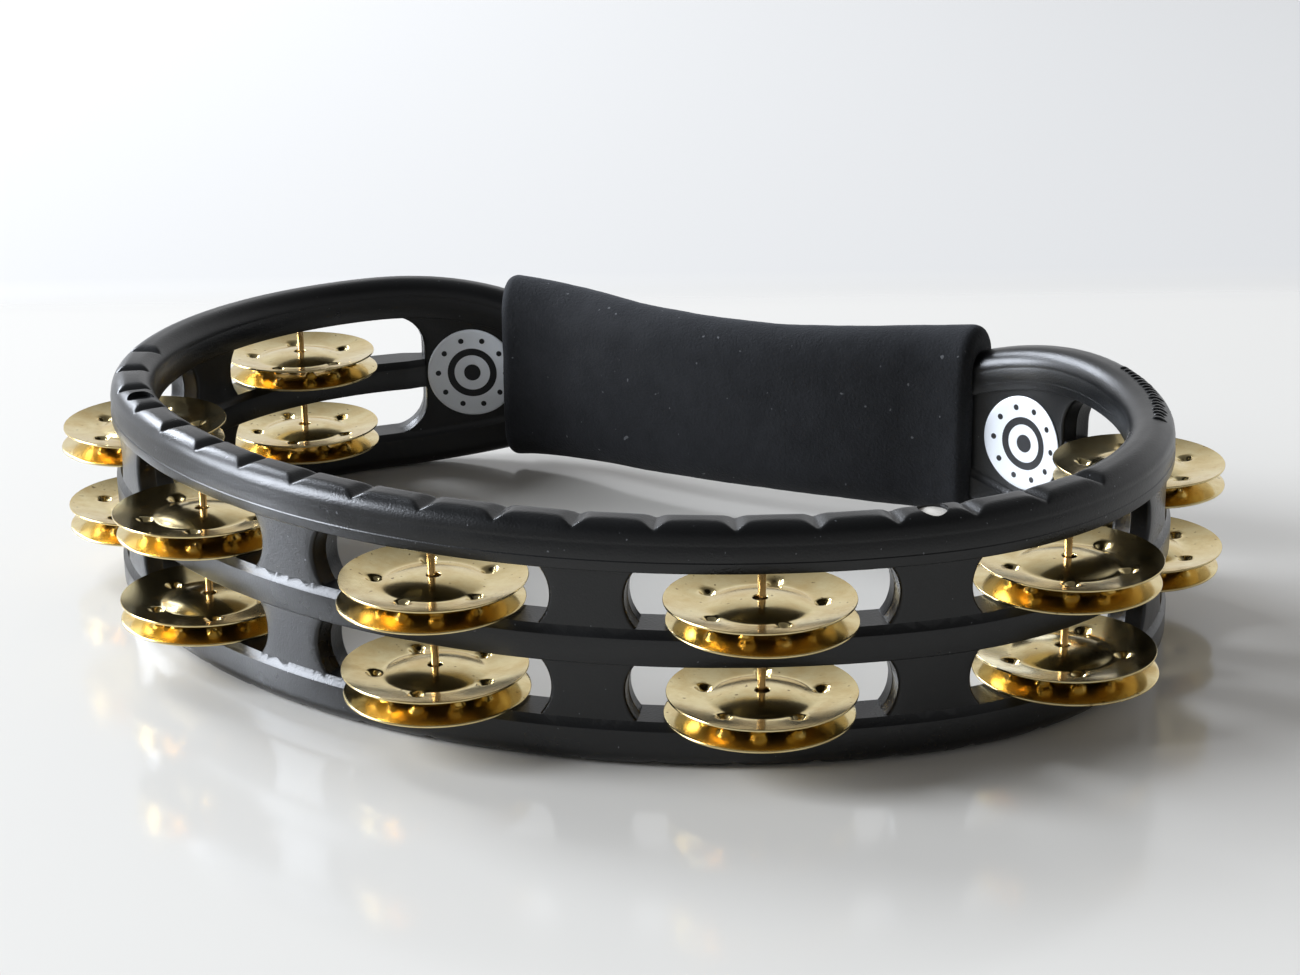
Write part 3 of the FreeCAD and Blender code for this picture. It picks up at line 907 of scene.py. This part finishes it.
def window_light(name, place, size, power):
    """A pale window that faces the object."""
    light = placed(name, bpy.data.lights.new(name, "AREA"))
    light.data.shape = "RECTANGLE"
    light.data.size, light.data.size_y = size
    light.data.energy = power
    light.data.color = linear("#E8EFFA")[:3]
    light.location = place
    light.rotation_euler = (LOOK_AT - light.location).to_track_quat("-Z", "Z").to_euler()


def table_mesh():
    """A wide round table top at z = 0."""
    turns = np.linspace(0, 2 * math.pi, 64, endpoint=False)
    mesh = bpy.data.meshes.new("table_top")
    rim = [(TABLE_RADIUS * math.cos(a), TABLE_RADIUS * math.sin(a), 0) for a in turns]
    mesh.from_pydata(rim, [], [tuple(range(64))])
    return mesh


def table_laminate(settings, ahead):
    """White gloss laminate. Behind the object its tone goes softly over into the grey-white of the wall."""
    material, tree, shader, where = new_material("White gloss laminate", {"IOR": 1.5})
    wear = grain(tree, where, 60.0, 3.0)
    flat = Vector((ahead.x, ahead.y, 0)).normalized()
    depth = add_node(tree, "ShaderNodeVectorMath", {"operation": "DOT_PRODUCT"}, {1: flat}, {0: where})
    beyond = between(tree, depth.outputs["Value"], 0.0, 1.0, TABLE_BACK, TABLE_BACK + 0.05)
    colour = mixed(tree, beyond, settings.floor_colour, "#D7D4CF")
    polish = between(tree, wear, 0.1, 0.16, 0.3, 0.7)
    rough = add_node(tree, "ShaderNodeMath", {"operation": "MAXIMUM"}, links={0: polish, 1: beyond})
    painted(tree, shader, colour, rough.outputs[0])
    return material


def room_light():
    """Soft room: pale walls at eye level, a dimmer ceiling, and a dimmer room in front of the object."""
    world = bpy.data.worlds.new("Room")
    world.use_nodes = True
    tree = world.node_tree
    tree.nodes.clear()
    where = add_node(tree, "ShaderNodeTexCoord").outputs["Generated"]
    axes = add_node(tree, "ShaderNodeSeparateXYZ", links={0: where})
    height = between(tree, axes.outputs["Z"], 1.0, 0.24, 0.38, 0.75)
    side = add_node(tree, "ShaderNodeVectorMath", {"operation": "DOT_PRODUCT"}, {1: ROOM_DEPTH}, {0: where})
    depth = between(tree, side.outputs["Value"], 0.36, 0.96, -0.65, 0.5)
    both = add_node(tree, "ShaderNodeMath", {"operation": "MULTIPLY"}, links={0: height, 1: depth})
    shade = add_node(tree, "ShaderNodeBackground", values={"Color": linear("#F2F3F5")},
                     links={"Strength": both.outputs[0]})
    add_node(tree, "ShaderNodeOutputWorld", links={"Surface": shade.outputs[0]})
    return world


# ---------------------------------------------------------------- settings


class RingSettings(bpy.types.PropertyGroup):
    """Sizes and finish of the moulded ring."""

    notch_depth: FloatProperty(
        name="Notch Depth", description="Depth of the finger notches", default=0.0016, unit="LENGTH",
        subtype="DISTANCE")
    notch_softness: FloatProperty(
        name="Notch Softness", description="Rounding of the notches' shoulders", default=0.0009,
        unit="LENGTH", subtype="DISTANCE")
    slot_round: FloatProperty(
        name="Slot Rounding", description="Rounding of the slots' upright edges", default=0.0009,
        unit="LENGTH", subtype="DISTANCE")
    parting_ridge: FloatProperty(
        name="Parting Ridge", description="Height of the parting ridge in the slots' ends", default=0.00016,
        unit="LENGTH", subtype="DISTANCE")
    roughness: FloatProperty(
        name="Roughness", description="Roughness of the satin plastic", default=0.3, min=0, max=1,
        subtype="FACTOR")
    colour: FloatVectorProperty(
        name="Colour", description="Colour of the plastic", default=linear("#060708")[:3], subtype="COLOR")


class JingleSettings(bpy.types.PropertyGroup):
    """Sizes and finish of the jingles and their pins."""

    sheet: FloatProperty(
        name="Sheet", description="Thickness of the brass sheet", default=0.0005, unit="LENGTH",
        subtype="DISTANCE")
    bosses: IntProperty(name="Bosses", description="Pierced bosses in each jingle", default=5, min=3)
    roughness: FloatProperty(
        name="Roughness", description="Roughness of the polished brass", default=0.14, min=0, max=1,
        subtype="FACTOR")
    colour: FloatVectorProperty(
        name="Colour", description="Colour of the brass", default=linear("#E4D3A0")[:3], subtype="COLOR")
    chamfer: FloatProperty(
        name="Pin Chamfer", description="Chamfer of the pins' ends", default=0.0015, unit="LENGTH",
        subtype="DISTANCE")


class GripSettings(bpy.types.PropertyGroup):
    """Shape and finish of the foam grip."""

    end_round: FloatProperty(
        name="End Rounding", description="Rounding of the foam's ends", default=0.0034, unit="LENGTH",
        subtype="DISTANCE")
    colour: FloatVectorProperty(
        name="Colour", description="Colour of the foam", default=linear("#141517")[:3], subtype="COLOR")


class BadgeSettings(bpy.types.PropertyGroup):
    """The round badges and the ribs on the crest."""

    dots: IntProperty(name="Dots", description="Small dots round the badge's ring", default=10, min=3)
    ribs: IntProperty(name="Ribs", description="Raised ribs on the crest", default=19, min=2)
    seed: IntProperty(name="Seed", description="Seed of the ribs' lengths", default=4)
    colour: FloatVectorProperty(
        name="Colour", description="Colour of the badge's foil", default=linear("#F3F8FE")[:3],
        subtype="COLOR")


class StageSettings(bpy.types.PropertyGroup):
    """Camera, floor and light."""

    azimuth: FloatProperty(
        name="Azimuth", description="Camera's turn round the object", default=math.radians(25.315),
        subtype="ANGLE")
    elevation: FloatProperty(
        name="Elevation", description="Camera's height above the horizon", default=math.radians(19.31),
        subtype="ANGLE")
    roll: FloatProperty(
        name="Roll", description="Camera's roll", default=math.radians(-0.642), subtype="ANGLE")
    distance: FloatProperty(
        name="Distance", description="From the camera to the point it looks at", default=0.62, unit="LENGTH",
        subtype="DISTANCE")
    window: FloatProperty(
        name="Window", description="Power of the window light, in watts", default=225.0, min=0)
    far_window: FloatProperty(
        name="Far Window", description="Power of the window behind on the left, in watts", default=75.0,
        min=0)
    floor_colour: FloatVectorProperty(
        name="Floor Colour", description="Colour of the table top", default=linear("#E2DED6")[:3],
        subtype="COLOR")


# ---------------------------------------------------------------- operators


class TAMBOURINE_OT_make_ring(bpy.types.Operator):
    """Makes the moulded ring and the cut gate in its right-hand recess"""

    bl_idname = "tambourine.make_ring"
    bl_label = "Moulded Ring"

    def execute(self, context):
        settings = context.scene.tambourine_ring
        finished(ring_mesh(settings), moulded_abs(settings), "root", "moulded_abs", "frame")
        floor = FRAME_HEIGHT - RECESS_DEPTH
        stub = upright(RECESS_PLACE, RECESS_RADIUS + 0.02, floor - 0.5, floor + 0.25, 48)
        gate = placed("crest_gate", mesh_of("crest_gate", [stub]))
        bevel = gate.modifiers.new("Edge", "BEVEL")
        bevel.width = 0.15 * MM
        bevel.segments = 2
        made_plain(gate)
        shade_smooth(gate.data, 40)
        finished(gate, gate_stub(), "root", "moulded_abs")
        return {"FINISHED"}


class TAMBOURINE_OT_make_pins(bpy.types.Operator):
    """Makes the seven pins that carry the jingles"""

    bl_idname = "tambourine.make_pins"
    bl_label = "Jingle Pins"

    def execute(self, context):
        settings = context.scene.tambourine_jingle
        boxes = [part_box(f"pin_{i}") for i in POSITIONS]
        feet = bpy.data.meshes.new("pin_feet")
        feet.from_pydata([((a.x + b.x) / 2, (a.y + b.y) / 2, a.z) for a, b in boxes], [], [])
        wire = drawn_wire()
        pins = grown("jingle_pins", feet, pin_tree(), {
            "Radius": PIN_RADIUS * MM, "Length": boxes[0][1].z - boxes[0][0].z,
            "Chamfer": settings.chamfer, "Finish": wire})
        shade_smooth(pins.data, 40)
        finished(pins, wire, "root", "pin_wire", *[f"pin_{i}" for i in POSITIONS])
        return {"FINISHED"}


class TAMBOURINE_OT_make_jingles(bpy.types.Operator):
    """Makes the jingles, in pairs face to face on every pin and in both rows"""

    bl_idname = "tambourine.make_jingles"
    bl_label = "Jingles"

    def execute(self, context):
        settings = context.scene.tambourine_jingle
        brass = polished_brass(settings)
        sheet = placed("jingle_sheet", jingle_mesh(settings))
        tree = jingle_tree()
        order = 0
        for position in POSITIONS:
            for row in ROWS:
                pair_turn = JINGLE_TURN * order
                for layer in ("under", "over"):
                    order += 1
                    node = f"jingle_{row}_{position}_{layer}"
                    low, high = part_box(node)
                    over = layer == "over"
                    heading = LEAN_TURN * order
                    swing = 0.5 + 0.5 * math.sin(LEAN_SWING * order)
                    tilt = math.radians(OVER_TILT if over else UNDER_TILT) * swing
                    jingle = grown(f"{node}_sheet", bpy.data.meshes.new(node), tree, {
                        "Sheet": sheet,
                        "Face": (0.0 if over else math.pi, 0.0, 0.0),
                        "Turn": (0.0, 0.0, pair_turn + (0.0 if over else math.pi / settings.bosses)),
                        "Tilt": (tilt * math.cos(heading), tilt * math.sin(heading), 0.0),
                        "Place": ((low.x + high.x) / 2, (low.y + high.y) / 2, high.z if over else low.z),
                        "Finish": brass,
                    })
                    finished(jingle, brass, node, "jingle_brass", node)
        drop(sheet)
        return {"FINISHED"}


class TAMBOURINE_OT_make_grip(bpy.types.Operator):
    """Makes the foam grip"""

    bl_idname = "tambourine.make_grip"
    bl_label = "Foam Grip"

    def execute(self, context):
        settings = context.scene.tambourine_grip
        grip = placed("grip_foam", sleeve_mesh(settings))
        finished(grip, closed_cell_foam(settings), "root", "grip_foam", "grip_sleeve")
        return {"FINISHED"}


class TAMBOURINE_OT_make_badges(bpy.types.Operator):
    """Makes the two round badges and their plain ring-and-dots print"""

    bl_idname = "tambourine.make_badges"
    bl_label = "Badges"

    def execute(self, context):
        settings = context.scene.tambourine_badge
        foil, ink, tree = foil_vinyl(settings), screen_ink(), emblem_tree()
        for side, name in ((-1, "left"), (1, "right")):
            badge = placed(f"badge_{name}_foil", badge_mesh())
            wrapped(badge.data, side, 0.0)
            shade_smooth(badge.data, 60)
            finished(badge, foil, "root", "badge_vinyl", f"badge_{name}")
            print_ = grown(f"badge_{name}_print", bpy.data.meshes.new("print"), tree, {
                "Ring Radius": PRINT_RING * MM, "Ring Width": PRINT_RING_WIDTH * MM, "Dots": settings.dots,
                "Dot Circle": PRINT_DOT_CIRCLE * MM, "Dot Radius": PRINT_DOT * MM,
                "Middle Radius": PRINT_MIDDLE * MM, "Ink Height": INK_HEIGHT * MM, "Finish": ink})
            wrapped(print_.data, side, BADGE_THICK)
            shade_smooth(print_.data, 40)
            finished(print_, ink, "root", "badge_vinyl")
        return {"FINISHED"}


class TAMBOURINE_OT_make_crest_ribs(bpy.types.Operator):
    """Makes the short row of raised ribs on the right of the crest"""

    bl_idname = "tambourine.make_crest_ribs"
    bl_label = "Crest Ribs"

    def execute(self, context):
        settings = context.scene.tambourine_badge
        across = np.linspace(-RIB_HALF_LENGTH, RIB_HALF_LENGTH, 13)
        beyond = np.clip(across + RIB_MIDDLE - (BEAD_HALF - TOP_ROUND), 0, None)
        crest = np.sqrt(TOP_ROUND**2 - beyond**2) - TOP_ROUND
        fade = np.sqrt(np.clip(1 - (across / 1.85) ** 2, 0, 1))
        rows = []
        for u, base, share in zip(across, crest, fade):
            lift, wide = base + 0.06 + 0.36 * share, 0.4 * share + 0.14
            root, brow = base - RIB_ROOT, lift - 0.12
            rows.append([(u, -wide, root), (u, wide, root), (u, wide, brow),
                         (u, 0.6 * wide, lift), (u, -0.6 * wide, lift), (u, -wide, brow)])
        rib = placed("rib", mesh_of("rib", [skin(np.array(rows) * MM)]))
        s = np.linspace(*RIB_ROW, 40)
        line = bpy.data.meshes.new("rib_line")
        points = on_ring(s, RIB_MIDDLE, FRAME_HEIGHT - bead_drop(s))
        line.from_pydata(points.tolist(), [(i, i + 1) for i in range(len(s) - 1)], [])
        plastic = bpy.data.materials["Moulded black ABS"]
        ribs = grown("crest_ribs", line, rib_tree(), {
            "Rib": rib, "Count": settings.ribs, "Shortest": RIB_SHORTEST, "Seed": settings.seed,
            "Finish": plastic})
        drop(rib)
        shade_smooth(ribs.data, 35)
        finished(ribs, plastic, "root", "moulded_abs")
        return {"FINISHED"}


class TAMBOURINE_OT_make_stage(bpy.types.Operator):
    """Makes the table top, the light and the camera"""

    bl_idname = "tambourine.make_stage"
    bl_label = "Stage"

    def execute(self, context):
        settings = context.scene.tambourine_stage
        azimuth, elevation = settings.azimuth, settings.elevation
        right = Vector((math.cos(azimuth), math.sin(azimuth), 0))
        ahead = Vector((-math.sin(azimuth) * math.cos(elevation), math.cos(azimuth) * math.cos(elevation),
                        -math.sin(elevation)))
        up = right.cross(ahead)
        turned = right * math.cos(settings.roll) + up * math.sin(settings.roll)
        camera = bpy.data.objects.new("Camera", bpy.data.cameras.new("Camera"))
        context.scene.collection.objects.link(camera)
        camera.data.sensor_width = SENSOR
        camera.data.lens = LENS
        camera.data.clip_start = 0.01
        camera.data.dof.use_dof = False
        eye = LOOK_AT - ahead * settings.distance
        camera.matrix_world = Matrix.Translation(eye) @ Matrix(
            (turned, turned.cross(ahead), -ahead)).transposed().to_4x4()
        context.scene.camera = camera
        floor = placed("table_top", table_mesh())
        floor.data.materials.append(table_laminate(settings, ahead))
        window_light("Window", WINDOW_PLACE, WINDOW_SIZE, settings.window)
        window_light("Far window", FAR_WINDOW_PLACE, FAR_WINDOW_SIZE, settings.far_window)
        context.scene.world = room_light()
        context.scene.view_settings.view_transform = "Standard"
        return {"FINISHED"}


class TAMBOURINE_PT_pieces(bpy.types.Panel):
    """Lists the pieces and their settings"""

    bl_idname = "TAMBOURINE_PT_pieces"
    bl_label = "Tambourine"
    bl_space_type = "VIEW_3D"
    bl_region_type = "UI"
    bl_category = "Tambourine"

    def draw(self, context):
        for holder in SETTINGS:
            box = self.layout.box()
            settings = getattr(context.scene, holder)
            for name in settings.__annotations__:
                box.prop(settings, name)
        for operator in OPERATORS:
            self.layout.operator(operator.bl_idname)


SETTINGS = {
    "tambourine_ring": RingSettings,
    "tambourine_jingle": JingleSettings,
    "tambourine_grip": GripSettings,
    "tambourine_badge": BadgeSettings,
    "tambourine_stage": StageSettings,
}
OPERATORS = (
    TAMBOURINE_OT_make_stage,
    TAMBOURINE_OT_make_ring,
    TAMBOURINE_OT_make_pins,
    TAMBOURINE_OT_make_jingles,
    TAMBOURINE_OT_make_grip,
    TAMBOURINE_OT_make_badges,
    TAMBOURINE_OT_make_crest_ribs,
)


def register():
    for holder, kind in SETTINGS.items():
        bpy.utils.register_class(kind)
        setattr(bpy.types.Scene, holder, PointerProperty(type=kind))
    for kind in (*OPERATORS, TAMBOURINE_PT_pieces):
        bpy.utils.register_class(kind)


def unregister():
    for kind in (TAMBOURINE_PT_pieces, *reversed(OPERATORS)):
        bpy.utils.unregister_class(kind)
    for holder, kind in SETTINGS.items():
        delattr(bpy.types.Scene, holder)
        bpy.utils.unregister_class(kind)


def main():
    register()
    bpy.ops.tambourine.make_stage()
    bpy.ops.tambourine.make_ring()
    bpy.ops.tambourine.make_pins()
    bpy.ops.tambourine.make_jingles()
    bpy.ops.tambourine.make_grip()
    bpy.ops.tambourine.make_badges()
    bpy.ops.tambourine.make_crest_ribs()


if __name__ == "__main__":
    main()
